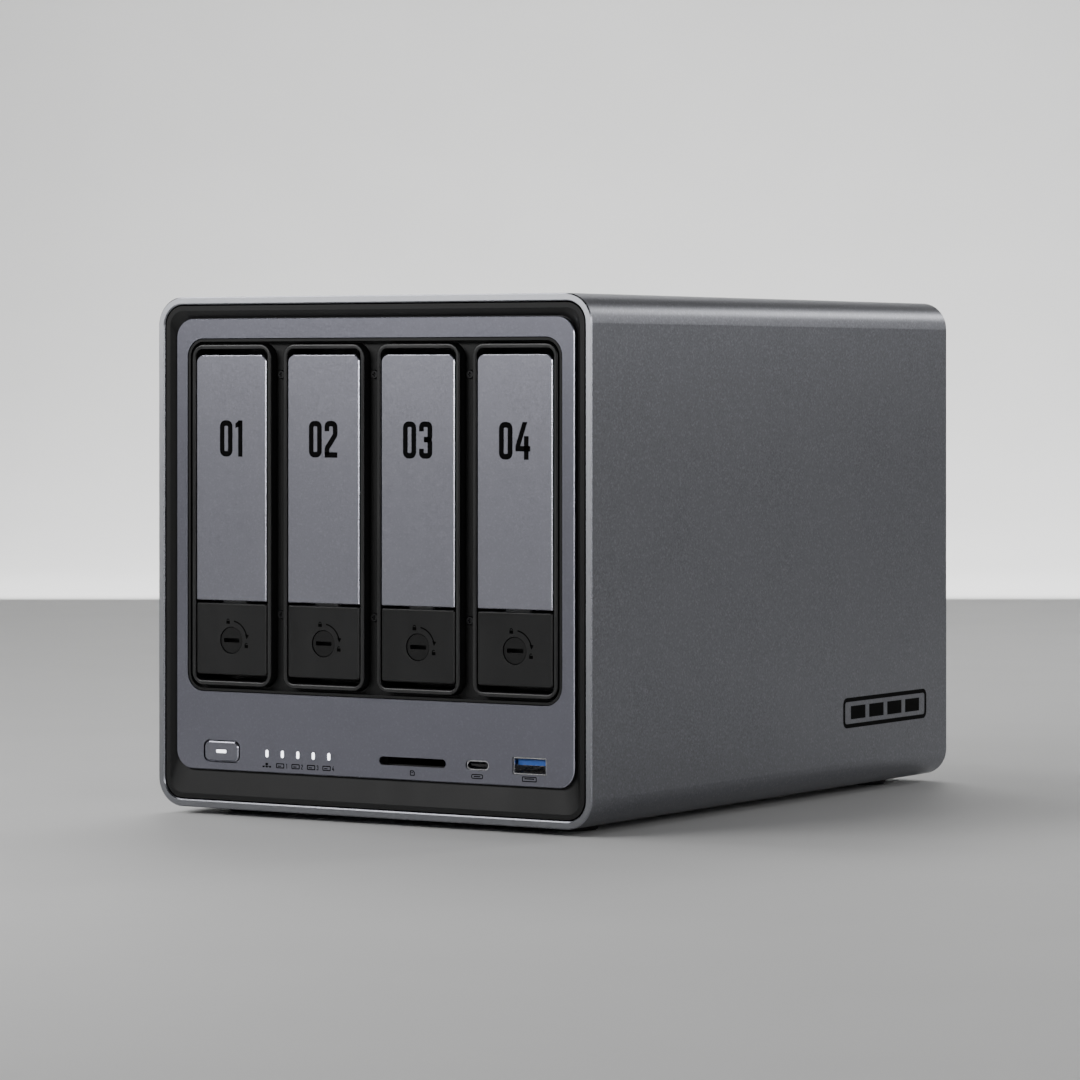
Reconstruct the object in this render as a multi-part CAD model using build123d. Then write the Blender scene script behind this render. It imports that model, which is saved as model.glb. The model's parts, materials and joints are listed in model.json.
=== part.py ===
"""Four-bay network storage enclosure, in millimetres.

The part stands on its feet at Z = 0, centred on X = 0 and Y = 0, and its front looks along -Y.
Inside the script, "depth" is measured back from the front rim of the case, and "height" up from
the case's underside, which the feet hold a little above the surface. The helpers below turn both
into the part's own Y and Z.
"""

import math
import os

from build123d import *

# ---- case ----
WIDTH = 178.0
HEIGHT = 178.0
DEPTH = 257.7
WALL = 2.6
CORNER = 10.0
RIM_BEVEL = 0.4
FOOT_HEIGHT = 2.5
FRONT = -DEPTH / 2
INNER = WIDTH - 2 * WALL
INNER_CORNER = CORNER - WALL

# ---- front face ----
BEZEL_GAP = 0.5
BEZEL_FRONT = 0.5
BEZEL_BACK = 4.3
BEZEL_RIM = 1.7
SLOPE_BACK = 2.3
PANEL_FRONT = 0.9
PANEL_THICK = 1.5
PANEL_BACK = PANEL_FRONT + PANEL_THICK
PANEL_WIDTH = 163.4
PANEL_LOW = 13.4
PANEL_HIGH = 170.35
PANEL_CORNER = 6.5
BAY_WIDTH = 154.0
BAY_LOW = 40.55
BAY_HIGH = 163.6
BAY_CORNER = 6.6
LIP = 1.15
LIP_FRONT = 1.1
FIT_GAP = 0.1
PANEL_GAP = 0.3

# ---- drive trays ----
BAYS = 4
PITCH = 38.85
TRAY_WIDTH = 33.7
TRAY_HEIGHT = 118.6
TRAY_MIDDLE = 102.1
TRAY_CORNER = 4.6
TRAY_FRONT = 0.9
TRAY_END = 165.0
TRAY_RIM = 1.6
RECESS_BACK = 14.0
NOSE_BACK = 16.0
TRAY_CLEAR = 0.35
RAIL_HALF = 53.6
SHEET = 2.0
RUNNER_INSET = 3.2
DRIVE_HOLES = (34.4, 136.0)
FACE_WIDTH = 29.6
FACE_TOP = 157.65
FACE_LOW = 72.4
BUTTON_TOP = 71.4
BUTTON_LOW = 46.6
FACE_THICK = 1.5
HINGE_DEPTH = 5.3
HINGE_HEIGHT = FACE_TOP - 4.6
TRUNNION = 1.2
RUNNING = 0.1
LOCK_HEIGHT = 58.6
LOCK_RADIUS = 4.6
BUTTON_BACK = 9.0
TAB_HALF = 4.75
TAB_DEPTHS = (3.0, 4.6)
POST_X = 11.2
POST_RADIUS = 1.4
TRAYS = [PITCH * (i - (BAYS - 1) / 2) for i in range(BAYS)]

# ---- drive bay, boards and fan ----
PLATE_BACK = 5.8
CAGE_SHEET = 1.0
CAGE_HALF = 59.8
CAGE_BACK = 172.0
BACKPLANE = 174.0
BOARD = 1.6
MAIN_BOARD_LOW = 14.0
MAIN_BOARD_TOP = MAIN_BOARD_LOW + BOARD
IO_BOARD_LOW = 15.0
IO_BOARD_TOP = IO_BOARD_LOW + BOARD
REAR_FRONT = 252.5
REAR_BACK = 254.5
FAN_SIZE = 140.0
FAN_DEPTH = 25.0
FAN_HOLES = 124.5
FAN_HEIGHT = 103.5
FAN_BORE = 66.5

# ---- front controls and sockets, as (x, height) of their centres ----
POWER_AT = (-62.3, 19.9)
LIGHTS_X = [-43.1 + 6.49 * i for i in range(5)]
LIGHTS_HEIGHT = 19.9
LIGHT_HOLE = (2.6, 1.3)
LIGHT_PIPE = (2.45, 1.1)
POWER_LIGHT = (4.3, 1.15)
CARD_AT = (17.3, 19.6)
USB_C_AT = (43.4, 19.65)
USB_A_AT = (64.1, 20.26)

RESET_AT = (-2.0, 20.5)

SCREW_RADIUS = 1.25
SCREW_HEAD = 1.55
BAY_SCREWS = [(PITCH * i, height) for i in (-1, 0, 1) for height in (68.0, 151.0)]
REAR_SCREWS = [(sx * 80.0, height) for sx in (-1, 1) for height in (9.0, 60.0, 169.0)]


def y_at(depth):
    """The part's Y at a depth behind the front rim."""
    return FRONT + depth


def z_at(height):
    """The part's Z at a height above the case's underside."""
    return FOOT_HEIGHT + height


def facing(depth, x=0.0, height=0.0):
    """A plane across the part at a depth, seen from the front, with its origin at (x, height)."""
    return Plane(origin=(x, y_at(depth), z_at(height)), x_dir=(1, 0, 0), z_dir=(0, -1, 0))


def push(outline, start, end, x=0.0, height=0.0):
    """An outline seen from the front, pushed back from one depth to another."""
    return extrude(facing(start, x, height) * outline, amount=start - end)


def slab(width, tall, corner, start, end, x=0.0, height=0.0):
    outline = RectangleRounded(width, tall, corner) if corner else Rectangle(width, tall)
    return push(outline, start, end, x, height)


def rod(radius, start, end, x=0.0, height=0.0):
    return push(Circle(radius), start, end, x, height)


def cross_rod(radius, left, right, depth, height):
    """A round bar that runs across the part, along X."""
    plane = Plane(origin=(left, y_at(depth), z_at(height)), x_dir=(0, 1, 0), z_dir=(1, 0, 0))
    return extrude(plane * Circle(radius), amount=right - left)


def upright(radius, low, high, x, depth):
    """A round bar that stands up, along Z."""
    plane = Plane(origin=(x, y_at(depth), z_at(low)))
    return extrude(plane * Circle(radius), amount=high - low)


def block(xs, depths, heights):
    """A plain block between two x, two depths and two heights."""
    size = (xs[1] - xs[0], depths[1] - depths[0], heights[1] - heights[0])
    middle = (sum(xs) / 2, y_at(sum(depths) / 2), z_at(sum(heights) / 2))
    return Pos(*middle) * Box(*size)


def front_edges(shape):
    return shape.edges().group_by(Axis.Y)[0]


def corners(half_x, half_z):
    """The four (x, z) corners of a rectangle about its centre."""
    return [(sx * half_x, sz * half_z) for sx in (-1, 1) for sz in (-1, 1)]


def pan_screw(x, height, seat, length, towards=1):
    """A pan-head screw along Y whose head sits on a face at depth seat; towards is +1 if it points back."""
    head = rod(SCREW_HEAD, seat - 0.9, seat, x, height)
    if towards < 0:
        head = rod(2.6, seat, seat + 1.3, x, height)
        head = chamfer(head.edges().group_by(Axis.Y)[-1], 0.4)
        head -= cross_recess(seat + 1.3, -0.8, x, height)
        return head + rod(SCREW_RADIUS, seat - length, seat, x, height)
    head = chamfer(front_edges(head), 0.3)
    head -= cross_recess(seat - 0.9, 0.5, x, height, 1.6)
    return head + rod(SCREW_RADIUS, seat, seat + length, x, height)


def cross_recess(start, deep, x, height, across=2.6):
    """The cross-shaped driver recess of a screw head, cut from a depth inward by deep."""
    ends = sorted((start - 0.01 * math.copysign(1, deep), start + deep))
    bars = [slab(across, 0.5, 0, *ends, x, height), slab(0.5, across, 0, *ends, x, height)]
    return bars[0] + bars[1]


# ---- case pieces ----
COVER_SIZE = (130.0, 92.0)
COVER_DEPTH = 150.0
COVER_THICK = 1.2
LEDGE = 4.5
COVER_SCREWS = [(sx * 60.5, COVER_DEPTH + sy * 41.5) for sx in (-1, 1) for sy in (-1, 1)]
FEET = [(sx * 66.0, DEPTH / 2 + sy * 104.0) for sx in (-1, 1) for sy in (-1, 1)]
FOOT_RADIUS = 9.0
FOOT_SEAT = 1.0


def cover_outline(grow, low, high):
    """A rounded plate under the case, larger than the cover by grow on every side."""
    plane = Plane(origin=(0, y_at(COVER_DEPTH), z_at(low)))
    outline = RectangleRounded(COVER_SIZE[0] + 2 * grow, COVER_SIZE[1] + 2 * grow, 4)
    return extrude(plane * outline, amount=high - low)


def outer_shell():
    middle = HEIGHT / 2
    shell = slab(WIDTH, HEIGHT, CORNER, 0, DEPTH, 0, middle)
    shell -= slab(INNER, INNER, INNER_CORNER, -1, DEPTH + 1, 0, middle)
    shell = chamfer(front_edges(shell) + shell.edges().group_by(Axis.Y)[-1], RIM_BEVEL)
    shell -= cover_outline(0, -1, COVER_THICK)
    shell -= cover_outline(-LEDGE, 0, WALL + 1)
    for x, depth in FEET:
        shell -= upright(FOOT_RADIUS, -1, FOOT_SEAT, x, depth)
    for x, depth in COVER_SCREWS:
        shell -= upright(SCREW_RADIUS, 0, WALL + 1, x, depth)
    return shell


def bottom_cover():
    cover = cover_outline(-0.3, 0, COVER_THICK)
    for x, depth in COVER_SCREWS:
        cover -= upright(SCREW_RADIUS, -1, 2, x, depth)
        cone = Plane(origin=(x, y_at(depth), z_at(0.5)))
        cover -= cone * Cone(2.6, 1.3, 1.0)
    return cover


def bottom_cover_screws():
    screws = []
    for x, depth in COVER_SCREWS:
        head = Plane(origin=(x, y_at(depth), z_at(0.5))) * Cone(2.5, 1.2, 1.0)
        slot = block((x - 1.5, x + 1.5), (depth - 0.3, depth + 0.3), (-0.1, 0.5))
        screws.append(head + upright(1.15, 0.9, 4.4, x, depth) - slot)
    return screws


def feet():
    pads = []
    for x, depth in FEET:
        pad = upright(FOOT_RADIUS - FIT_GAP, -FOOT_HEIGHT, FOOT_SEAT, x, depth)
        pads.append(chamfer(pad.edges().group_by(Axis.Z)[0], 0.6))
    return pads


# ---- front face pieces ----
PANEL_MIDDLE = (PANEL_LOW + PANEL_HIGH) / 2
PANEL_TALL = PANEL_HIGH - PANEL_LOW
BAY_MIDDLE = (BAY_LOW + BAY_HIGH) / 2
BAY_TALL = BAY_HIGH - BAY_LOW
BUTTON_SIZE = (14.4, 6.75)
BUTTON_CORNER = 2.0
CARD_SLOT = (27.1, 2.9)
USB_C_HOLE = (9.3, 3.5)
USB_A_HOLE = (13.3, 5.9)


def front_openings(start, end, grow):
    """Every hole in the strip under the bays, larger than its nominal size by grow on every side."""
    wider = 2 * grow
    holes = [
        slab(BUTTON_SIZE[0] + 1.1 + wider, BUTTON_SIZE[1] + 1.1 + wider, BUTTON_CORNER + 0.5,
             start, end, *POWER_AT),
        push(SlotOverall(CARD_SLOT[0] + wider, CARD_SLOT[1] + wider), start, end, *CARD_AT),
        push(SlotOverall(USB_C_HOLE[0] + wider, USB_C_HOLE[1] + wider), start, end, *USB_C_AT),
        slab(USB_A_HOLE[0] + wider, USB_A_HOLE[1] + wider, 0.4, start, end, *USB_A_AT),
    ]
    light = SlotOverall(LIGHT_HOLE[0] + wider, LIGHT_HOLE[1] + wider, rotation=90)
    holes += [push(light, start, end, x, LIGHTS_HEIGHT) for x in LIGHTS_X]
    return holes


def front_panel():
    panel = slab(PANEL_WIDTH, PANEL_TALL, PANEL_CORNER, PANEL_FRONT, PANEL_BACK, 0, PANEL_MIDDLE)
    panel = chamfer(front_edges(panel), 0.25)
    panel -= slab(BAY_WIDTH, BAY_TALL, BAY_CORNER, 0, 5, 0, BAY_MIDDLE)
    for hole in front_openings(0, 5, 0):
        panel -= hole
    return panel


def front_bezel():
    middle = HEIGHT / 2
    size = INNER - 2 * BEZEL_GAP
    corner = INNER_CORNER - BEZEL_GAP
    bezel = slab(size, size, corner, BEZEL_FRONT, 12, 0, middle)
    inner = size - 2 * 2.2
    bezel -= slab(inner, inner, corner - 2.2, BEZEL_BACK, 13, 0, middle)
    outer_edge = size - 2 * BEZEL_RIM
    inner_edge = (PANEL_WIDTH + 2 * PANEL_GAP, PANEL_TALL + 2 * PANEL_GAP)
    slope = loft([
        facing(BEZEL_FRONT, 0, middle) * RectangleRounded(outer_edge, outer_edge, corner - BEZEL_RIM),
        facing(SLOPE_BACK, 0, PANEL_MIDDLE) * RectangleRounded(*inner_edge, PANEL_CORNER + PANEL_GAP),
    ])
    bezel -= slope
    bezel -= slab(*inner_edge, PANEL_CORNER + PANEL_GAP, SLOPE_BACK - 0.1, PANEL_BACK, 0, PANEL_MIDDLE)
    lip = slab(BAY_WIDTH - 2 * FIT_GAP, BAY_TALL - 2 * FIT_GAP, BAY_CORNER - FIT_GAP,
               LIP_FRONT, BEZEL_BACK, 0, BAY_MIDDLE)
    lip = chamfer(front_edges(lip), 0.2)
    bezel += lip
    mouth = slab(BAY_WIDTH - 2 * LIP, BAY_TALL - 2 * LIP, BAY_CORNER - LIP, 0, 13, 0, BAY_MIDDLE)
    bezel -= mouth
    for hole in front_openings(0, 13, 0.3):
        bezel -= hole
    bezel -= slab(BUTTON_SIZE[0] + 3.4, BUTTON_SIZE[1] + 3.4, 2.5, PANEL_BACK, 13, *POWER_AT)
    return bezel


def power_button():
    cap = slab(*BUTTON_SIZE, BUTTON_CORNER, 0.6, 3.0, *POWER_AT)
    cap = chamfer(front_edges(cap), 0.35)
    cap += slab(BUTTON_SIZE[0] + 2.4, BUTTON_SIZE[1] + 2.4, 2.0, 2.6, 3.5, *POWER_AT)
    cap += rod(1.6, 3.0, 8.6, *POWER_AT)
    return cap - slab(*POWER_LIGHT, 0.45, 0, 2.2, *POWER_AT)


def power_light():
    return slab(*POWER_LIGHT, 0.45, 0.65, 2.2, *POWER_AT)


def light_pipes():
    """Five clear pipes, moulded on one strip behind the bezel."""
    strip = block((LIGHTS_X[0] - 2, LIGHTS_X[-1] + 2), (6.4, 8.0), (18.3, 21.5))
    outline = SlotOverall(*LIGHT_PIPE, rotation=90)
    for x in LIGHTS_X:
        strip += push(outline, PANEL_FRONT + 0.1, 6.5, x, LIGHTS_HEIGHT)
    return strip


def front_io_board():
    return block((-76, 76), (9, 36), (IO_BOARD_LOW, IO_BOARD_TOP))


def card_slot():
    x, height = CARD_AT
    body = block((x - 15, x + 15), (4.6, 32), (IO_BOARD_TOP, height + 2.4))
    return body - block((x - 12.4, x + 12.4), (4, 29), (height - 1.3, height + 1.3))


def socket_shell(at, size, wall, start, end, corner):
    """The folded metal sleeve of a socket, closed at its far end."""
    sleeve = slab(*size, corner, start, end, *at)
    inside = (size[0] - 2 * wall, size[1] - 2 * wall)
    hollow = (start - 1, end - 1.5) if start < end else (start + 1, end + 1.5)
    return sleeve - slab(*inside, max(corner - wall, 0.05), *hollow, *at)


def usb_c_socket():
    x, height = USB_C_AT
    sleeve = push(SlotOverall(8.9, 3.2), 1.4, 11, x, height)
    sleeve -= push(SlotOverall(8.3, 2.6), 0, 9.5, x, height)
    tongue = slab(6.7, 0.7, 0.2, 2.6, 9.6, x, height)
    return sleeve + tongue + block((x - 3.5, x + 3.5), (9.2, 11), (IO_BOARD_TOP, height - 1))


REAR_USB = [(13.0, 21.0), (30.0, 21.0)]
USB_SIZE = (13.0, 5.6)
USB_WALL = 0.28


def usb_sockets():
    """One socket in front and two at the rear, all the same part."""
    x, height = USB_A_AT
    front = socket_shell(USB_A_AT, USB_SIZE, USB_WALL, 1.3, 20, 0.5)
    front += block((x - 6, x + 6), (10, 20), (IO_BOARD_TOP, height - 2.7))
    sockets = [front]
    for x, height in REAR_USB:
        sleeve = socket_shell((x, height), USB_SIZE, USB_WALL, REAR_BACK - 0.2, 236, 0.5)
        sleeve += block((x - 6, x + 6), (236, 244), (MAIN_BOARD_TOP, height - 2.7))
        sockets.append(sleeve)
    return sockets


def usb_tongues():
    tongues = []
    for (x, height), start, end in [(USB_A_AT, 3.0, 18.5)] + [(at, 237.5, REAR_BACK - 2) for at in REAR_USB]:
        tongues.append(slab(11.4, 1.9, 0.2, start, end, x, height + 1.1))
    return tongues


def tact_switches():
    """The power switch behind the front button, and the reset switch at the rear."""
    x, height = POWER_AT
    power = block((x - 3, x + 3), (10.2, 13.7), (IO_BOARD_TOP, height + 3)) + rod(1.4, 9.4, 10.3, x, height)
    x, height = RESET_AT
    reset = block((x - 3, x + 3), (241.5, 245.0), (MAIN_BOARD_TOP, height + 3))
    reset -= rod(1.25, 242.5, 246, x, height)
    return [power, reset]


def reset_button():
    return rod(1.15, 243.6, 248.6, *RESET_AT)


# ---- drive trays ----
def tray(x):
    """Front frame, two rails and a side sheet; a drive lies between the rails, open to +X."""
    middle = TRAY_MIDDLE
    nose = slab(TRAY_WIDTH, TRAY_HEIGHT, TRAY_CORNER, TRAY_FRONT, NOSE_BACK, x, middle)
    inner = (TRAY_WIDTH - 2 * TRAY_RIM, TRAY_HEIGHT - 2 * TRAY_RIM)
    nose -= slab(*inner, TRAY_CORNER - 2.0, 0, RECESS_BACK, x, middle)
    nose = fillet(front_edges(nose), 0.5)
    left, right = x - 16.5, x + 13.5
    body = nose + block((left, left + SHEET), (NOSE_BACK, TRAY_END), (middle - RAIL_HALF, middle + RAIL_HALF))
    for side in (-1, 1):
        rail = sorted((middle + side * (RAIL_HALF - SHEET), middle + side * RAIL_HALF))
        runner = sorted((middle + side * RAIL_HALF, middle + side * TRAY_HEIGHT / 2))
        body += block((left, right), (NOSE_BACK, TRAY_END), rail)
        for edge in (left + RUNNER_INSET, right - RUNNER_INSET - SHEET):
            body += block((edge, edge + SHEET), (NOSE_BACK, TRAY_END), runner)
        for depth in DRIVE_HOLES:
            body -= upright(1.8, rail[0] - 1, rail[1] + 1, x - 8.15, depth)
    for i in range(5):
        start = 30.0 + 26.0 * i
        window = Plane(origin=(left - 1, y_at(start + 9), z_at(middle)), x_dir=(0, 1, 0), z_dir=(1, 0, 0))
        body -= extrude(window * RectangleRounded(18, 46, 3), amount=4)
    for along, up in corners(76.6 / 2, 61.72 / 2):
        body -= cross_rod(1.6, left - 1, left + 3, 92 + along, middle + up)
    for side in (-1, 1):
        end = sorted((x + side * 14.8, x + side * 16.45))
        body -= cross_rod(TRUNNION + RUNNING, *end, HINGE_DEPTH, HINGE_HEIGHT)
        slot = sorted((x + side * 15.0, x + side * 16.3))
        body -= block(slot, (5.8, 10.9), (LOCK_HEIGHT - 2.3, LOCK_HEIGHT + 2.3))
        body += rod(POST_RADIUS, 5.5, RECESS_BACK + 0.5, x + side * POST_X, LOCK_HEIGHT)
    return body


def handle(x):
    """The lever behind the face plate: two trunnions turn in the tray's walls, and a notch clears the catch."""
    half = 14.3
    lever = block((x - half, x + half), (PANEL_BACK, 5.2), (FACE_LOW + 0.3, HINGE_HEIGHT + 2.0))
    lever += cross_rod(2.3, x - half, x + half, HINGE_DEPTH, HINGE_HEIGHT)
    lever += cross_rod(TRUNNION, x - 16.3, x + 16.3, HINGE_DEPTH, HINGE_HEIGHT)
    pocket_top = HINGE_HEIGHT - 5
    for low, high in ((FACE_LOW + 4, FACE_LOW + 38), (FACE_LOW + 41, pocket_top)):
        lever -= block((x - half + 2, x + half - 2), (3.6, 6), (low, high))
    return lever - block((x - TAB_HALF - 0.6, x + TAB_HALF + 0.6), (2, 6), (FACE_LOW, BUTTON_TOP + 4.4))


def face_plate(x):
    """The metal plate on the lever, with rounded top corners and square lower ones."""
    tall = FACE_TOP - FACE_LOW
    outline = Rectangle(FACE_WIDTH, tall)
    outline = fillet(outline.vertices().sort_by(Axis.Y)[-2:], 2.5)
    outline = fillet(outline.vertices().sort_by(Axis.Y)[:2], 0.3)
    plate = push(outline, TRAY_FRONT, TRAY_FRONT + FACE_THICK, x, (FACE_TOP + FACE_LOW) / 2)
    return chamfer(front_edges(plate), 0.25)


def release_button(x):
    tall = BUTTON_TOP - BUTTON_LOW
    outline = Rectangle(FACE_WIDTH, tall)
    outline = fillet(outline.vertices().sort_by(Axis.Y)[-2:], 0.6)
    outline = fillet(outline.vertices().sort_by(Axis.Y)[:2], 1.0)
    key = push(outline, TRAY_FRONT, BUTTON_BACK, x, (BUTTON_TOP + BUTTON_LOW) / 2)
    key = chamfer(front_edges(key), 0.35)
    key += block((x - TAB_HALF, x + TAB_HALF), TAB_DEPTHS, (BUTTON_TOP - 1, BUTTON_TOP + 3.4))
    for side in (-1, 1):
        nib = sorted((x + side * 14.0, x + side * 15.95))
        key += block(nib, (6, 8), (LOCK_HEIGHT - 2, LOCK_HEIGHT + 2))
        key -= rod(POST_RADIUS + 0.2, 2.6, BUTTON_BACK + 1, x + side * POST_X, LOCK_HEIGHT)
    return key - rod(LOCK_RADIUS + RUNNING, 0, BUTTON_BACK + 1, x, LOCK_HEIGHT)


def lock(x):
    """A coin-slot lock with a cam on its tail, standing at its unlocked stop."""
    core = rod(LOCK_RADIUS, 1.2, BUTTON_BACK + 0.5, x, LOCK_HEIGHT)
    core = chamfer(front_edges(core), 0.2)
    core -= slab(6.5, 1.45, 0.3, 0, 4.2, x, LOCK_HEIGHT)
    cam = slab(9.0, 3.0, 0.5, BUTTON_BACK + 0.4, BUTTON_BACK + 1.6, x + 2.6, LOCK_HEIGHT)
    return core + cam


def release_springs(x):
    """Two coil springs round the guide posts, between the button and the tray's wall."""
    springs = []
    wire = 0.3
    length = RECESS_BACK - BUTTON_BACK - 2 * wire - 0.1
    for side in (-1, 1):
        plane = facing(RECESS_BACK - wire - 0.05, x + side * POST_X, LOCK_HEIGHT)
        coil = Helix(pitch=length / 4, height=length, radius=2.1)
        start = Plane(origin=coil @ 0, z_dir=coil % 0)
        springs.append(plane * sweep(start * Circle(wire), path=coil))
    return springs


# ---- drive bay ----
def bay_plate():
    """The black plate between and around the trays, at the front of the drive cage."""
    plate = slab(160, BAY_TALL + 2, 6, BEZEL_BACK, PLATE_BACK, 0, TRAY_MIDDLE)
    grow = 2 * TRAY_CLEAR
    for x in TRAYS:
        plate -= slab(TRAY_WIDTH + grow, TRAY_HEIGHT + grow, TRAY_CORNER + TRAY_CLEAR, 0, 9, x, TRAY_MIDDLE)
    for x, height in BAY_SCREWS:
        plate -= rod(SCREW_RADIUS, 0, 9, x, height)
    return plate


def panel_screws():
    """The screws of the bay plate, then those of the rear panel."""
    front = [pan_screw(x, height, BEZEL_BACK, 5.0) for x, height in BAY_SCREWS]
    rear = [pan_screw(x, height, REAR_BACK, 6.0, -1) for x, height in REAR_SCREWS]
    return front + rear


def drive_cage():
    """Folded steel cage: floor, roof, two outer walls and three dividers, with bosses for the screws."""
    half = PITCH * BAYS / 2 + CAGE_SHEET / 2
    low, high = TRAY_MIDDLE - CAGE_HALF, TRAY_MIDDLE + CAGE_HALF
    depths = (PLATE_BACK, CAGE_BACK)
    cage = block((-half, half), depths, (low - CAGE_SHEET, low))
    cage += block((-half, half), depths, (high, high + CAGE_SHEET))
    for i in range(BAYS + 1):
        x = PITCH * (i - BAYS / 2)
        cage += block((x - CAGE_SHEET / 2, x + CAGE_SHEET / 2), depths, (low, high))
    for x, height in BAY_SCREWS:
        cage += rod(2.1, PLATE_BACK, 14, x, height)
        cage -= rod(SCREW_RADIUS, 0, 12, x, height)
    return cage


def guide_rails():
    """A plastic rail on each side of each tray's foot and head."""
    strips = []
    for x in TRAYS:
        for side in (-1, 1):
            gap, wall = TRAY_WIDTH / 2 + 0.4, PITCH / 2 - CAGE_SHEET / 2
            across = sorted((x + side * gap, x + side * wall))
            for low in (TRAY_MIDDLE - CAGE_HALF, TRAY_MIDDLE + CAGE_HALF - 7):
                strips.append(block(across, (16, CAGE_BACK), (low, low + 7)))
    return strips


def backplane_board():
    board = block((-75, 75), (BACKPLANE, BACKPLANE + BOARD), (44, 160))
    for i in range(BAYS + 1):
        x = min(max(PITCH * (i - BAYS / 2), -66), 66)
        board -= slab(14, 84, 2, BACKPLANE - 1, BACKPLANE + 3, x, TRAY_MIDDLE)
    return board


def sata_sockets():
    sockets = []
    for x in TRAYS:
        middle = (x - 1.2, TRAY_MIDDLE - 26)
        body = slab(6.0, 44.0, 1.0, BACKPLANE - 7.5, BACKPLANE, *middle)
        body -= slab(2.6, 20.5, 0.3, 160, BACKPLANE - 2, middle[0], middle[1] + 10.5)
        body -= slab(2.6, 13.0, 0.3, 160, BACKPLANE - 2, middle[0], middle[1] - 9.0)
        sockets.append(body)
    return sockets


# ---- lower chassis ----
STANDOFFS = [(sx * 74.0, depth) for sx in (-1, 1) for depth in (56.0, 150.0, 232.0)]


def base_frame():
    """Folded tray under the main board, whose side walls carry the drive cage."""
    low, high = WALL, TRAY_MIDDLE - CAGE_HALF - CAGE_SHEET
    frame = block((-79, 79), (14, 236), (low, low + 1.2))
    plane = Plane(origin=(0, y_at(COVER_DEPTH), z_at(low - 1)))
    frame -= extrude(plane * RectangleRounded(COVER_SIZE[0] + 6, COVER_SIZE[1] + 6, 4), amount=4)
    for side in (-1, 1):
        wall = sorted((side * 77.8, side * 79.0))
        flange = sorted((side * 69.0, side * 79.0))
        frame += block(wall, (14, 170), (low, high))
        frame += block(flange, (14, 170), (high - 1.2, high))
    for x, depth in STANDOFFS:
        frame += upright(3.0, low, MAIN_BOARD_LOW, x, depth)
    return frame


def main_board():
    board = block((-77, 77), (46, 250), (MAIN_BOARD_LOW, MAIN_BOARD_TOP))
    board += block((-20, 20), (100, 140), (MAIN_BOARD_TOP, MAIN_BOARD_TOP + 2))
    for x, depth, wide, deep, tall in ((40, 80, 12, 12, 1.2), (52, 110, 8, 10, 1.0), (-45, 90, 14, 14, 1.4),
                                       (-50, 190, 9, 9, 1.2), (20, 180, 10, 10, 1.1)):
        board += block((x, x + wide), (depth, depth + deep), (MAIN_BOARD_TOP, MAIN_BOARD_TOP + tall))
    for i in range(6):
        board += upright(3.0, MAIN_BOARD_TOP, MAIN_BOARD_TOP + 8, -60 + 8 * i, 160)
    return board


def heatsink():
    low = MAIN_BOARD_TOP + 2
    sink = block((-32, 32), (88, 152), (low, low + 3))
    for i in range(13):
        x = -31 + 5.0 * i
        sink += block((x, x + 1.2), (88, 152), (low + 3, low + 19))
    return sink


MEMORY_DEPTHS = (122.0, 142.0)


def memory_sockets():
    sockets = []
    for depth in MEMORY_DEPTHS:
        body = block((-36, 36), (depth, depth + 6), (MAIN_BOARD_LOW - 5, MAIN_BOARD_LOW))
        body -= block((-34.2, 34.2), (depth + 2, depth + 7), (MAIN_BOARD_LOW - 3.4, MAIN_BOARD_LOW - 2.0))
        sockets.append(body)
    return sockets


def memory_modules():
    modules = []
    for depth in MEMORY_DEPTHS:
        low = MAIN_BOARD_LOW - 3.3
        board = block((-33.8, 33.8), (depth + 2.2, depth + 18), (low, low + 1.2))
        for i in range(4):
            x = -29 + 16 * i
            board += block((x, x + 11), (depth + 7, depth + 16), (low - 1, low))
        modules.append(board)
    return modules


# ---- rear ----
LAN_SOCKETS = [(50.5, 22.5), (68.5, 22.5)]
LAN_SIZE = (16.0, 13.6)
HDMI_AT = (-21.0, 19.6)
INLET_AT = (-44.0, 21.5)
LOCK_SLOT_AT = (-68.0, 20.0)
SCREEN_SIZE = 148.0
SCREEN_FRONT = 254.6
SCREEN_BACK = 257.2
SCREEN_HEIGHT = 104.0


def rear_panel():
    size = INNER - 0.4
    panel = slab(size, size, INNER_CORNER - 0.2, REAR_FRONT, REAR_BACK, 0, HEIGHT / 2)
    ends = (REAR_FRONT - 1, REAR_BACK + 1)
    panel -= rod(FAN_BORE, *ends, 0, FAN_HEIGHT)
    for dx, dz in corners(FAN_HOLES / 2, FAN_HOLES / 2):
        panel -= rod(2.2, *ends, dx, FAN_HEIGHT + dz)
    for x, height in REAR_SCREWS:
        panel -= rod(SCREW_RADIUS + FIT_GAP, *ends, x, height)
    for at in LAN_SOCKETS:
        panel -= slab(LAN_SIZE[0] + 0.4, LAN_SIZE[1] + 0.4, 0.3, *ends, *at)
    for at in REAR_USB:
        panel -= slab(USB_SIZE[0] + 0.4, USB_SIZE[1] + 0.4, 0.5, *ends, *at)
    panel -= slab(15.6, 6.2, 0.5, *ends, *HDMI_AT)
    panel -= rod(4.6, *ends, *INLET_AT)
    panel -= rod(1.3, *ends, *RESET_AT)
    panel -= slab(7.0, 3.0, 0.4, *ends, *LOCK_SLOT_AT)
    return panel


def lan_sockets():
    sockets = []
    for x, height in LAN_SOCKETS:
        body = slab(*LAN_SIZE, 0.2, REAR_BACK, 233, x, height)
        body -= slab(11.8, 7.0, 0, REAR_BACK + 1, 240, x, height + 0.6)
        body -= slab(6.2, 3.0, 0, REAR_BACK + 1, 244, x, height - 4.2)
        sockets.append(body)
    return sockets


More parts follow.
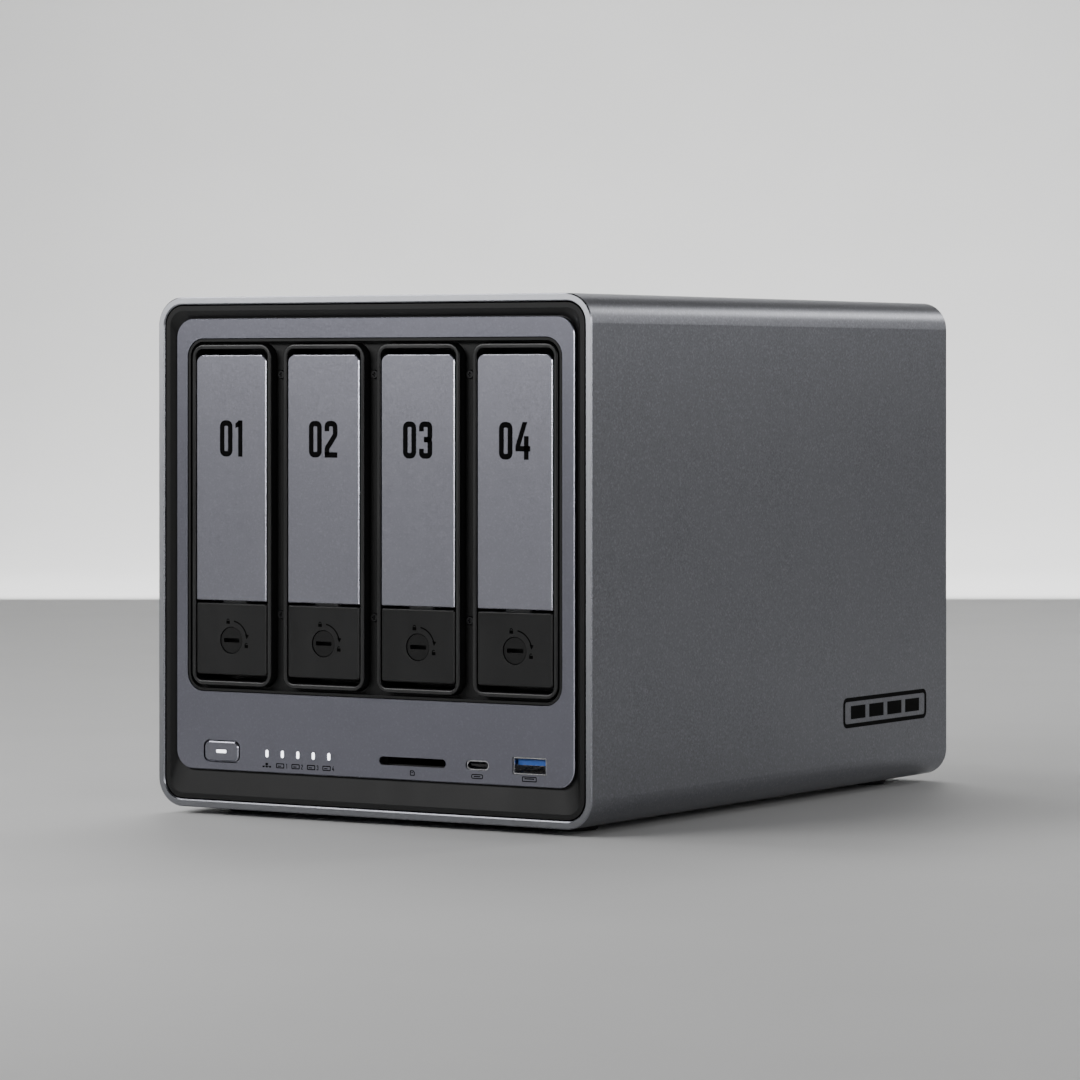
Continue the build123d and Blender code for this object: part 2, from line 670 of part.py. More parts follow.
def hdmi_socket():
    x, height = HDMI_AT
    body = slab(15.0, 5.6, 0.8, REAR_BACK - 0.2, 242, x, height)
    body -= slab(14.1, 4.7, 0.5, REAR_BACK + 1, 244, x, height)
    body += slab(11.0, 1.0, 0.2, REAR_BACK - 2, 243.8, x, height)
    return body + block((x - 6, x + 6), (242, 248), (MAIN_BOARD_TOP, height - 2.6))


def power_inlet():
    """Barrel socket for the external supply, with its centre pin."""
    x, height = INLET_AT
    body = rod(4.3, REAR_BACK - 0.2, 242, x, height) - rod(2.9, REAR_BACK + 1, 244, x, height)
    body += rod(1.1, REAR_BACK - 2, 243.8, x, height)
    return body + block((x - 5, x + 5), (240, 251), (MAIN_BOARD_TOP, height - 2.95))


def fan_frame():
    start, end = REAR_FRONT - FAN_DEPTH, REAR_FRONT
    frame = slab(FAN_SIZE, FAN_SIZE, 5, start, end, 0, FAN_HEIGHT)
    frame -= rod(FAN_BORE, start - 1, end + 1, 0, FAN_HEIGHT)
    waist = slab(FAN_SIZE + 20, FAN_SIZE + 20, 5, start + 4, end - 4, 0, FAN_HEIGHT)
    frame -= waist - rod(FAN_BORE + 2.5, start, end, 0, FAN_HEIGHT)
    for dx, dz in corners(FAN_HOLES / 2, FAN_HOLES / 2):
        frame -= rod(2.15, start - 1, end + 1, dx, FAN_HEIGHT + dz)
    frame += rod(21, end - 4.5, end - 0.5, 0, FAN_HEIGHT)
    for i in range(4):
        strut = slab(4, FAN_BORE + 1 - 18, 0, end - 4.5, end - 0.5, 0, (FAN_BORE + 1 + 18) / 2)
        frame += Pos(0, 0, z_at(FAN_HEIGHT)) * Rot(0, 45 + 90 * i, 0) * Pos(0, 0, -FOOT_HEIGHT) * strut
    frame += rod(4, start + 6, end - 4, 0, FAN_HEIGHT)
    return frame - rod(1.6, start + 5, end - 1.5, 0, FAN_HEIGHT)


BLADES = 9


def fan_rotor():
    """A cup-shaped hub with its shaft and nine swept blades."""
    start, end = REAR_FRONT - FAN_DEPTH + 1.5, REAR_FRONT - 5.5
    hub = rod(22, start, end, 0, FAN_HEIGHT) - rod(20, start + 2, end + 1, 0, FAN_HEIGHT)
    hub = fillet(hub.edges().group_by(Axis.Y)[0], 1.2)
    hub += rod(1.5, start + 1, end - 1, 0, FAN_HEIGHT)
    sweep_area = rod(FAN_BORE - 1.2, start + 0.5, end - 0.3, 0, 0) - rod(21.5, start, end, 0, 0)
    for i in range(BLADES):
        blade = Pos(0, y_at((start + end) / 2), z_at(43)) * Rot(0, 0, 38) * Box(30, 1.4, 46)
        blade = blade & sweep_area
        hub += Pos(0, 0, z_at(FAN_HEIGHT)) * Rot(0, 360 / BLADES * i, 0) * Pos(0, 0, -FOOT_HEIGHT) * blade
    return hub


def fan_screws():
    screws = []
    for dx, dz in corners(FAN_HOLES / 2, FAN_HOLES / 2):
        x, height = dx, FAN_HEIGHT + dz
        screw = rod(2.05, REAR_FRONT - 8, REAR_BACK, x, height)
        screws.append(screw)
    return screws


def screen_frame():
    """The lift-off frame of the dust screen, held by magnets against the rear panel."""
    frame = slab(SCREEN_SIZE, SCREEN_SIZE - 10, 8, SCREEN_FRONT, SCREEN_BACK, 0, SCREEN_HEIGHT)
    frame -= slab(SCREEN_SIZE - 12, SCREEN_SIZE - 22, 4, 250, 260, 0, SCREEN_HEIGHT)
    frame = chamfer(frame.edges().group_by(Axis.Y)[-1], 0.5)
    groove = slab(SCREEN_SIZE - 8, SCREEN_SIZE - 18, 5, SCREEN_FRONT + 0.6, SCREEN_FRONT + 1.4, 0, SCREEN_HEIGHT)
    return frame - groove


def screen_mesh():
    return slab(SCREEN_SIZE - 8, SCREEN_SIZE - 18, 5, SCREEN_FRONT + 0.6, SCREEN_FRONT + 1.4, 0, SCREEN_HEIGHT)


def main():
    pieces = {
        "outer_shell": outer_shell(),
        "bottom_cover": bottom_cover(),
        "bottom_cover_screws": bottom_cover_screws(),
        "feet": feet(),
        "front_bezel": front_bezel(),
        "front_panel": front_panel(),
        "power_button": power_button(),
        "power_light": power_light(),
        "light_pipes": light_pipes(),
        "front_io_board": front_io_board(),
        "card_slot": card_slot(),
        "usb_c_socket": usb_c_socket(),
        "usb_sockets": usb_sockets(),
        "usb_tongues": usb_tongues(),
        "tact_switches": tact_switches(),
        "reset_button": reset_button(),
        "bay_plate": bay_plate(),
        "panel_screws": panel_screws(),
        "drive_cage": drive_cage(),
        "guide_rails": guide_rails(),
        "backplane_board": backplane_board(),
        "sata_sockets": sata_sockets(),
        "base_frame": base_frame(),
        "main_board": main_board(),
        "heatsink": heatsink(),
        "memory_sockets": memory_sockets(),
        "memory_modules": memory_modules(),
        "rear_panel": rear_panel(),
        "lan_sockets": lan_sockets(),
        "hdmi_socket": hdmi_socket(),
        "power_inlet": power_inlet(),
        "fan_frame": fan_frame(),
        "fan_rotor": fan_rotor(),
        "fan_screws": fan_screws(),
        "screen_frame": screen_frame(),
        "screen_mesh": screen_mesh(),
    }
    for number, x in enumerate(TRAYS, 1):
        pieces[f"tray_{number}"] = tray(x)
        pieces[f"handle_{number}"] = handle(x)
        pieces[f"face_plate_{number}"] = face_plate(x)
        pieces[f"release_button_{number}"] = release_button(x)
        pieces[f"lock_{number}"] = lock(x)
        pieces[f"release_springs_{number}"] = release_springs(x)
    os.makedirs("parts", exist_ok=True)
    for name, shape in pieces.items():
        solids = shape if isinstance(shape, list) else [shape]
        export_step(Compound(children=solids) if len(solids) > 1 else solids[0], f"parts/{name}.step")


main()
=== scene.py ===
"""Looks for the four-bay network storage enclosure.

Gives every CAD piece a procedural material, and adds the printed marks, the contacts in the sockets, the
woven dust screen, the springs behind the release buttons, and the floor, camera and lights.
"""

import json
import math

import bmesh
import bpy
from mathutils import Matrix, Vector


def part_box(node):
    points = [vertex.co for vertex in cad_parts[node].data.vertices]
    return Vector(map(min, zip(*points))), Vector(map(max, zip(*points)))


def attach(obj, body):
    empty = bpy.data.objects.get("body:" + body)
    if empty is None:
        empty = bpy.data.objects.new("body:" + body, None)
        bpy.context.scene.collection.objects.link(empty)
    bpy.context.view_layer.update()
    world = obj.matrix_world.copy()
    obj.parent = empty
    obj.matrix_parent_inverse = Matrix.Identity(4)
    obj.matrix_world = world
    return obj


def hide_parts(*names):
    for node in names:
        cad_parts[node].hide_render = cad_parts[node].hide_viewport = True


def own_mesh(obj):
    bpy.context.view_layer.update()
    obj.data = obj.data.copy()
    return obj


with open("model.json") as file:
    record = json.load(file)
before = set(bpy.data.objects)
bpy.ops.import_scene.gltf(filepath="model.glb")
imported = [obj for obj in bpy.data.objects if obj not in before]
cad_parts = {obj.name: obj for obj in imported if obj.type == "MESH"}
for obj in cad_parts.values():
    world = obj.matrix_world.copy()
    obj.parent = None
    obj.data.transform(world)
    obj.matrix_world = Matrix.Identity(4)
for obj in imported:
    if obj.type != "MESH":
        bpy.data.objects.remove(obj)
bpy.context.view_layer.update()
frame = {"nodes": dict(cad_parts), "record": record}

MM = 0.001
BAYS = range(1, 5)
FRONT = Vector((0, -1, 0))
RIGHT = Vector((1, 0, 0))
REAR = Vector((0, 1, 0))


def middle(node):
    low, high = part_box(node)
    return (Vector(low) + Vector(high)) / 2


# ---------------------------------------------------------------- places, from the frame

TONGUE_HALF_WIDE = 5.7 * MM
TONGUE_THICK = 1.9 * MM
REAR_USB_APART = 17.0 * MM
LAN_HALF_WIDE = 8.0 * MM

shell_low, shell_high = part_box("outer_shell")
panel_low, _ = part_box("front_panel")
tongues_low, tongues_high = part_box("usb_tongues")
front_usb_x = tongues_high[0] - TONGUE_HALF_WIDE
rear_usb_places = [tongues_low[0] + TONGUE_HALF_WIDE + REAR_USB_APART * k for k in (0, 1)]
lan_low, lan_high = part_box("lan_sockets")
lan_places = (lan_low[0] + LAN_HALF_WIDE, lan_high[0] - LAN_HALF_WIDE)


# ---------------------------------------------------------------- materials


class Look:
    """A Principled material. Its helpers add nodes and return their output sockets.

    The sizes of its patterns are in millimetres.
    """

    def __init__(self, name, color, metallic=0.0, rough=0.5, **shader):
        self.mat = bpy.data.materials.new(name)
        self.mat.use_nodes = True
        self.tree = self.mat.node_tree
        self.shader = self.tree.nodes["Principled BSDF"]
        self.shader.inputs["Base Color"].default_value = (*color, 1)
        self.shader.inputs["Metallic"].default_value = metallic
        self.shader.inputs["Roughness"].default_value = rough
        for key, value in shader.items():
            self.shader.inputs[key.replace("_", " ")].default_value = value
        self.coords = self.tree.nodes.new("ShaderNodeTexCoord")
        self.relief = None

    def add(self, kind, inputs=(), **settings):
        """A new node, whose inputs are sockets to link or values to set."""
        node = self.tree.nodes.new(kind)
        for key, value in settings.items():
            setattr(node, key, value)
        for key, value in dict(inputs).items():
            if isinstance(value, bpy.types.NodeSocket):
                self.tree.links.new(value, node.inputs[key])
            else:
                node.inputs[key].default_value = value
        return node

    def place(self, stretch=(1, 1, 1)):
        inputs = {"Vector": self.coords.outputs["Object"], "Scale": stretch}
        return self.add("ShaderNodeMapping", inputs).outputs[0]

    def noise(self, size, detail=2.0, rough=0.5, stretch=(1, 1, 1), distortion=0.0):
        """Smooth noise whose features are about size across."""
        inputs = {"Vector": self.place(stretch), "Scale": 1000.0 / size, "Detail": detail,
                  "Roughness": rough, "Distortion": distortion}
        return self.add("ShaderNodeTexNoise", inputs).outputs["Fac"]

    def cells(self, size, output="Distance"):
        """Rounded cells about size across."""
        inputs = {"Vector": self.place(), "Scale": 1000.0 / size}
        return self.add("ShaderNodeTexVoronoi", inputs).outputs[output]

    def sparkle(self, size):
        """Bright cells about size across, scattered at random among dark ones."""
        cell = {"Vector": self.cells(size, "Position")}
        return self.ramp(self.add("ShaderNodeTexWhiteNoise", cell).outputs["Value"], 0.80, 1.0)

    def ramp(self, fac, low, high, start=0.0, end=1.0):
        """fac from low to high, mapped to start to end and held beyond."""
        inputs = {"Value": fac, "From Min": low, "From Max": high, "To Min": start, "To Max": end}
        return self.add("ShaderNodeMapRange", inputs).outputs["Result"]

    def math(self, operation, first, second=0.0):
        return self.add("ShaderNodeMath", {0: first, 1: second}, operation=operation).outputs[0]

    def tint(self, fac, first, second):
        """A colour between first and second, which are sockets or colours."""
        node = self.add("ShaderNodeMix", {"Factor": fac}, data_type="RGBA")
        for index, value in ((6, first), (7, second)):
            if isinstance(value, bpy.types.NodeSocket):
                self.tree.links.new(value, node.inputs[index])
            else:
                node.inputs[index].default_value = (*value, 1)
        return node.outputs[2]

    def facing(self, axis):
        """How squarely the surface faces along an axis of the object, from 0 to 1."""
        parts = self.add("ShaderNodeSeparateXYZ", {0: self.coords.outputs["Normal"]})
        return self.math("ABSOLUTE", parts.outputs[axis])

    def along(self, axis):
        """The place along an axis of the object, in metres."""
        return self.add("ShaderNodeSeparateXYZ", {0: self.coords.outputs["Object"]}).outputs[axis]

    def away(self, axis, centre):
        """The distance from a place along an axis of the object, in metres."""
        return self.math("ABSOLUTE", self.math("SUBTRACT", self.along(axis), centre))

    def set(self, name, socket):
        self.tree.links.new(socket, self.shader.inputs[name])

    def base(self):
        """The colour that the material has so far."""
        return self.shader.inputs["Base Color"].links[0].from_socket

    def bump(self, height, depth, strength=1.0):
        """Adds relief of a depth on top of what is there."""
        inputs = {"Height": height, "Distance": depth * MM, "Strength": strength}
        node = self.add("ShaderNodeBump", inputs)
        if self.relief is not None:
            self.tree.links.new(self.relief, node.inputs["Normal"])
        self.relief = node.outputs["Normal"]
        self.set("Normal", self.relief)


def shade(color, factor):
    return tuple(min(1.0, channel * factor) for channel in color)


RIM_STARTS = 0.55 * MM             # how far behind the case's front edge the rim's colour starts
RIM_FULL = 0.25 * MM               # and where it is at its full strength
RIM_PAINTED_LIGHT_TOP = 180 * MM           # the height at which the rim's painted highlight is brightest, fading to painted shade at its foot


def blasted_metal(name, color, rough, rim=None, edge=1.6, grit=0.14, size=0.6, spark=0.22):
    """Bead-blasted, anodised aluminium: fine sparkle, faint mottling and brighter machined edges.

    edge is how much brighter the chamfers are. rim is the machined front face's colour, with painted light
    on it: brighter towards its top and painted shade towards its foot.
    """
    look = Look(name, color, metallic=1.0, rough=rough)
    grain = look.noise(size, 3.0, 0.75)
    cloud = look.noise(26.0, 2.0)
    base = look.tint(look.ramp(grain, 0.35, 0.65), shade(color, 1 - grit), shade(color, 1 + grit))
    base = look.tint(look.ramp(cloud, 0.3, 0.7, 0.0, 0.5), base, shade(color, 1.06))
    base = look.tint(look.math("MULTIPLY", look.sparkle(0.6), spark), base, shade(color, 1.9))
    slanted = look.ramp(look.facing(1), 0.15, 0.35)
    chamfer = look.math("MULTIPLY", slanted, look.ramp(look.facing(1), 0.97, 0.90))
    base = look.tint(look.math("MULTIPLY", chamfer, 0.75), base, shade(color, edge))
    if rim:
        square = look.ramp(look.facing(1), 0.97, 0.995)
        foremost = look.ramp(look.along(1), shell_low[1] + RIM_STARTS, shell_low[1] + RIM_FULL)
        # painted light: the rim's colour runs from painted shade at its foot to a painted highlight near its
        # top
        rim_painted_light = look.tint(look.ramp(look.along(2), 0.0, RIM_PAINTED_LIGHT_TOP), shade(rim, 0.42), shade(rim, 1.12))
        base = look.tint(look.math("MULTIPLY", square, foremost), base, rim_painted_light)
    roughness = look.ramp(grain, 0.3, 0.7, rough - 0.05, rough + 0.05)
    look.set("Base Color", base)
    look.set("Roughness", look.math("SUBTRACT", roughness, look.math("MULTIPLY", chamfer, 0.14)))
    look.bump(grain, 0.012, 0.55)
    look.bump(look.cells(0.6), 0.008, 0.35)
    return look


def moulded(name, color, rough=0.5, texture=0.35, depth=0.02, **shader):
    """Moulded plastic with a spark-eroded texture and slight flow marks."""
    look = Look(name, color, rough=rough, **shader)
    erosion = look.noise(texture, 3.0, 0.65)
    flow = look.noise(18.0, 2.0, stretch=(1, 1, 0.35), distortion=0.6)
    base = look.tint(look.ramp(erosion, 0.3, 0.7), shade(color, 0.82), shade(color, 1.2))
    look.set("Base Color", look.tint(look.ramp(flow, 0.35, 0.7, 0.0, 0.35), base, shade(color, 1.25)))
    look.set("Roughness", look.ramp(flow, 0.3, 0.7, rough - 0.04, rough + 0.05))
    look.bump(erosion, depth, 0.5)
    look.bump(look.cells(texture * 1.6), depth * 0.6, 0.3)
    return look


def powder_coat(name, color, rough=0.45, shine=0.45):
    """Textured powder coat: orange peel with small flecks."""
    look = Look(name, color, rough=rough, Specular_IOR_Level=shine)
    peel = look.noise(0.9, 2.0, 0.5)
    cloud = look.noise(30.0, 2.0)
    base = look.tint(look.ramp(peel, 0.3, 0.7), shade(color, 0.8), shade(color, 1.25))
    look.set("Base Color", look.tint(look.ramp(cloud, 0.3, 0.7, 0.0, 0.4), base, shade(color, 1.15)))
    look.set("Roughness", look.ramp(cloud, 0.3, 0.7, rough - 0.05, rough + 0.06))
    look.bump(peel, 0.05, 0.5)
    look.bump(look.cells(0.6), 0.02, 0.35)
    return look


def galvanised(name):
    """Zinc-coated sheet with spangle and rolling lines."""
    look = Look(name, (0.55, 0.56, 0.57), metallic=1.0, rough=0.34)
    spangle = look.add("ShaderNodeSeparateColor", {"Color": look.cells(7.0, "Color")}).outputs[0]
    rolled = look.noise(1.2, 3.0, 0.6, stretch=(1, 0.05, 1))
    stain = look.noise(40.0, 3.0)
    base = look.tint(spangle, (0.44, 0.46, 0.48), (0.64, 0.65, 0.66))
    base = look.tint(look.ramp(rolled, 0.35, 0.65, 0.0, 0.4), base, (0.52, 0.53, 0.54))
    look.set("Base Color", look.tint(look.ramp(stain, 0.5, 0.75, 0.0, 0.35), base, (0.40, 0.41, 0.42)))
    look.set("Roughness", look.ramp(spangle, 0.0, 1.0, 0.26, 0.44))
    look.bump(rolled, 0.01, 0.4)
    return look


def bright_steel(name, color=(0.72, 0.72, 0.73), rough=0.24):
    """Plated or drawn steel with fine scratches."""
    look = Look(name, color, metallic=1.0, rough=rough)
    scratch = look.noise(0.5, 3.0, 0.7, stretch=(1, 0.04, 1))
    haze = look.noise(4.0, 2.0)
    look.set("Base Color", look.tint(look.ramp(haze, 0.3, 0.7), shade(color, 0.86), shade(color, 1.05)))
    look.set("Roughness", look.ramp(scratch, 0.3, 0.7, rough - 0.07, rough + 0.1))
    look.bump(scratch, 0.006, 0.5)
    return look


def circuit_board(name):
    """Solder mask over copper traces, with plated dots and a woven glass weave under it."""
    look = Look(name, (0.01, 0.06, 0.035), rough=0.35, Coat_Weight=0.35, Coat_Roughness=0.2)
    lanes = look.add("ShaderNodeTexBrick", {
        "Vector": look.place(), "Scale": 55.0, "Mortar Size": 0.02, "Mortar Smooth": 0.1,
        "Brick Width": 0.9, "Row Height": 0.09}).outputs["Fac"]
    pads = look.ramp(look.cells(3.4), 0.17, 0.14)
    weave = look.noise(0.6, 2.0)
    base = look.tint(look.ramp(weave, 0.3, 0.7), (0.006, 0.045, 0.028), (0.012, 0.065, 0.04))
    base = look.tint(lanes, base, (0.02, 0.11, 0.055))
    look.set("Base Color", look.tint(look.math("MULTIPLY", pads, 0.8), base, (0.72, 0.58, 0.30)))
    look.set("Roughness", look.ramp(pads, 0.0, 1.0, 0.36, 0.22))
    look.bump(lanes, 0.03, 0.5)
    look.bump(weave, 0.01, 0.3)
    return look


def rubber(name, color):
    """Matt rubber with a dusty bloom."""
    look = Look(name, color, rough=0.72, Specular_IOR_Level=0.35)
    dust = look.noise(6.0, 3.0, 0.6)
    look.set("Base Color", look.tint(look.ramp(dust, 0.45, 0.8, 0.0, 0.6), color, shade(color, 2.2)))
    look.set("Roughness", look.ramp(dust, 0.3, 0.7, 0.66, 0.8))
    look.bump(look.noise(0.35, 2.0), 0.03, 0.5)
    return look


def lit(name, color, strength, rough=0.25):
    """A frosted light pipe that glows, with a slightly uneven light."""
    look = Look(name, (0.9, 0.92, 0.95), rough=rough, Emission_Strength=strength)
    frost = look.noise(0.5, 2.0)
    look.set("Emission Color", look.tint(look.ramp(frost, 0.3, 0.7), shade(color, 0.92), color))
    look.set("Roughness", look.ramp(frost, 0.3, 0.7, rough, rough + 0.15))
    look.bump(frost, 0.02, 0.3)
    return look


def ink(name, color, rough=0.5):
    """Screen-printed ink: nearly even, with a trace of the mesh it was printed through."""
    look = Look(name, color, rough=rough, Specular_IOR_Level=0.04)
    screen = look.noise(0.3, 2.0)
    look.set("Base Color", look.tint(look.ramp(screen, 0.35, 0.65), shade(color, 0.85), shade(color, 1.2)))
    look.set("Roughness", look.ramp(screen, 0.3, 0.7, rough - 0.04, rough + 0.06))
    look.bump(screen, 0.004, 0.3)
    return look


def lined_socket(look, node, half_wide, half_tall, mouth_drop):
    """Turns a plated socket's tongue to black plastic. Its middle is mouth_drop below the node's top."""
    low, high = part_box(node)
    up = look.away(2, high[2] - mouth_drop * MM)
    across = look.away(0, (low[0] + high[0]) / 2)
    tongue = look.ramp(up, half_tall * MM, (half_tall - 0.05) * MM)
    tongue = look.math("MULTIPLY", tongue, look.ramp(across, half_wide * MM, (half_wide - 0.1) * MM))
    look.set("Base Color", look.tint(tongue, look.base(), (0.01, 0.01, 0.01)))
    look.set("Metallic", look.ramp(tongue, 0.0, 1.0, 1.0, 0.0))
    return look


def banded(look, height, color):
    """Gives everything above a height, in metres, another colour."""
    above = look.ramp(look.along(2), height, height + 0.05 * MM)
    look.set("Base Color", look.tint(above, look.base(), color))
    return look


BLACK = (0.0068, 0.0068, 0.0071)
PLATING = (0.62, 0.62, 0.64)
GLOW = (0.93, 0.96, 1.0)
BUTTON_LEDGE = 0.95 * MM           # how far below the plates the painted highlight on the tops of the buttons starts
BOARD_THICK = 1.6 * MM
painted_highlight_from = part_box("face_plate_1")[0][2] - BUTTON_LEDGE
board_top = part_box("main_board")[0][2] + BOARD_THICK

button_look = moulded("button plastic", (0.0088, 0.0088, 0.009), 0.34, Specular_IOR_Level=0.42)
looks = {
    "shell_metal": blasted_metal("shell anodised", (0.200, 0.204, 0.224), 0.40, rim=(0.50, 0.51, 0.545),
                                 edge=1.3, grit=0.22, size=0.75, spark=0.3),
    "panel_metal": blasted_metal("panel anodised", (0.192, 0.193, 0.227), 0.37,
                                 edge=3.0, grit=0.06, spark=0.1),
    "plate_metal": blasted_metal("plate anodised", (0.268, 0.269, 0.308), 0.37,
                                 edge=3.0, grit=0.06, spark=0.1),
    "key_metal": blasted_metal("key anodised", (0.200, 0.202, 0.232), 0.38,
                               edge=2.6, grit=0.06, spark=0.1),
    "bezel_plastic": moulded("bezel plastic", BLACK, 0.46, Specular_IOR_Level=0.3),
    "tray_plastic": moulded("tray plastic", shade(BLACK, 1.2), 0.34, Specular_IOR_Level=0.62),
    "lock_plastic": moulded("lock plastic", (0.004, 0.004, 0.004), 0.45, Specular_IOR_Level=0.28),
    "lever_plastic": moulded("lever plastic", (0.012, 0.012, 0.012), 0.48, Specular_IOR_Level=0.4),
    # painted highlight: the black buttons' tops, in the gap under the plates, are painted pale grey for the
    # light they catch
    "button_plastic": banded(button_look, painted_highlight_from, (0.16, 0.16, 0.165)),
    "bay_metal": powder_coat("bay coat", (0.006, 0.006, 0.0062), shine=0.3),
    "cage_steel": galvanised("cage zinc"),
    "spring_steel": bright_steel("spring wire"),
    "screw_black": bright_steel("screw oxide", (0.035, 0.035, 0.036), 0.4),
    "board_resin": circuit_board("circuit board"),
    "socket_steel": bright_steel("socket plating", PLATING),
    "socket_plastic": moulded("socket plastic", (0.014, 0.014, 0.014), 0.45),
    "tongue_plastic": moulded("tongue plastic", (0.03, 0.12, 0.46), 0.36),
    "light_white": lit("light pipe", GLOW, 4.0),
    "button_light": lit("button light", GLOW, 3.0),
    "switch_body": moulded("switch body", (0.03, 0.03, 0.03), 0.45),
    "sink_metal": bright_steel("heatsink extrusion", (0.66, 0.67, 0.68), 0.32),
    "rear_metal": powder_coat("rear coat", (0.020, 0.020, 0.021)),
    "cover_metal": powder_coat("cover coat", (0.024, 0.024, 0.025)),
    "fan_plastic": moulded("fan frame plastic", (0.015, 0.015, 0.016), 0.48),
    "rotor_plastic": moulded("fan rotor plastic", (0.030, 0.030, 0.032), 0.42),
    "screen_plastic": moulded("screen plastic", (0.017, 0.017, 0.018), 0.46),
    "mesh_steel": bright_steel("screen wire", (0.05, 0.05, 0.052), 0.42),
    "foot_rubber": rubber("foot rubber", (0.018, 0.018, 0.018)),
}
black_ink = ink("black ink", (0.0022, 0.0022, 0.0024), 0.6)
button_ink = ink("button ink", (0.0006, 0.0006, 0.0006), 0.8)
pale_ink = ink("pale ink", (0.52, 0.52, 0.54), 0.5)
gold = bright_steel("contact gold", (0.86, 0.62, 0.26))

# These two nodes are of more than one material.
own_looks = {
    "usb_c_socket": lined_socket(bright_steel("usb c plating", PLATING), "usb_c_socket", 3.45, 0.6, 1.6),
    "main_board": banded(circuit_board("main board"), board_top + 0.05 * MM, (0.012, 0.012, 0.013)),
}
for entry in frame["record"]["subparts"]:
    node = frame["nodes"][entry["node"]]
    look = own_looks.get(entry["node"], looks[entry["material_slot"]])
    if not node.material_slots:
        node.data.materials.append(look.mat)
    for slot in node.material_slots:
        slot.material = look.mat


# ---------------------------------------------------------------- making pieces


def add_object(name, data):
    made = bpy.data.objects.new(name, data)
    bpy.context.collection.objects.link(made)
    return made


def mesh_object(name, bm, look, smooth):
    """Turns a bmesh into an object with a look."""
    mesh = bpy.data.meshes.new(name)
    bm.to_mesh(mesh)
    bm.free()
    mesh.materials.append(look.mat)
    for face in mesh.polygons:
        face.use_smooth = smooth
    return add_object(name, mesh)


def new_piece(name, bm, look, body, smooth=False):
    """Turns a bmesh into a piece that rides on a body."""
    bmesh.ops.recalc_face_normals(bm, faces=bm.faces)
    piece = mesh_object(name, bm, look, smooth)
    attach(piece, body)
    return piece


# ---------------------------------------------------------------- drawing marks, in millimetres

# A mark is (path, width, closed), a stroke along a path, or (outline,), a filled patch.
INK_THICK = 0.03 * MM


def rounded(path, radius, closed=False, steps=6):
    """A path of 2-D points with each of its corners rounded."""
    points = [Vector(point) for point in path]
    count = len(points)
    out = []
    for i, here in enumerate(points):
        if not closed and i in (0, count - 1):
            out.append(here)
            continue
        back, ahead = points[i - 1] - here, points[(i + 1) % count] - here
        turn = back.angle(ahead)
        cut = min(radius / math.tan(turn / 2), back.length / 2, ahead.length / 2)
        start, end = here + back.normalized() * cut, here + ahead.normalized() * cut
        for k in range(steps + 1):
            t = k / steps
            out.append(start * (1 - t) ** 2 + here * 2 * t * (1 - t) + end * t ** 2)
    return out


def arc(centre, radius, start, end, steps=18):
    """Points round a circle, from one angle to another in degrees."""
    angles = [math.radians(start + (end - start) * k / steps) for k in range(steps + 1)]
    return [Vector((centre[0] + radius * math.cos(a), centre[1] + radius * math.sin(a))) for a in angles]


def add_stroke(bm, path, width, closed, to_3d):
    """Lays a flat stroke of a width along a path, with mitred joints."""
    count = len(path)
    sides = []
    for i, here in enumerate(path):
        before = path[i - 1] if closed or i else None
        after = path[(i + 1) % count] if closed or i < count - 1 else None
        ways = [(here - before).normalized()] if before is not None else []
        ways += [(after - here).normalized()] if after is not None else []
        way = sum(ways, Vector((0, 0))).normalized()
        normal = Vector((-way.y, way.x))
        reach = width / 2 / max(0.4, normal.dot(Vector((-ways[0].y, ways[0].x))))
        sides.append([bm.verts.new(to_3d(here + normal * reach * side)) for side in (1, -1)])
    for i in range(count if closed else count - 1):
        (a, b), (c, d) = sides[i], sides[(i + 1) % count]
        bm.faces.new((a, b, d, c))


def add_patch(bm, outline, to_3d):
    bm.faces.new([bm.verts.new(to_3d(Vector(point))) for point in outline])


def print_marks(name, marks, to_3d, outward, look, body):
    """Lays marks on a surface as a thin layer of ink."""
    bm = bmesh.new()
    for mark in marks:
        if len(mark) == 1:
            add_patch(bm, mark[0], to_3d)
        else:
            add_stroke(bm, mark[0], mark[1], mark[2], to_3d)
    top = bmesh.ops.extrude_face_region(bm, geom=list(bm.faces))
    verts = [item for item in top["geom"] if isinstance(item, bmesh.types.BMVert)]
    bmesh.ops.translate(bm, verts=verts, vec=outward * INK_THICK)
    return new_piece(name, bm, look, body)


def moved(marks, shift, scale=1.0):
    """Marks scaled about the origin, then moved."""
    out = []
    for mark in marks:
        points = [Vector(point) * scale + Vector(shift) for point in mark[0]]
        out.append((points,) if len(mark) == 1 else (points, mark[1] * scale, mark[2]))
    return out


def on_front(x0, z0, y):
    """Maps millimetres right and up of (x0, z0) onto a plane that faces the front."""
    return lambda p: Vector((x0 + p.x * MM, y, z0 + p.y * MM))


def on_back(x0, z0, y):
    """The same on a plane that faces the rear, where right is towards -X."""
    return lambda p: Vector((x0 - p.x * MM, y, z0 + p.y * MM))


def on_right(p):
    """Maps millimetres along the right side, from its front edge, and up from its lower edge."""
    return Vector((shell_high[0], shell_low[1] + p.x * MM, shell_low[2] + p.y * MM))


# ---------------------------------------------------------------- numerals

STROKE = 1.9
HALF_TALL = 5.35
HALF_WIDE = 1.72
NUMERAL_GAP = 1.2


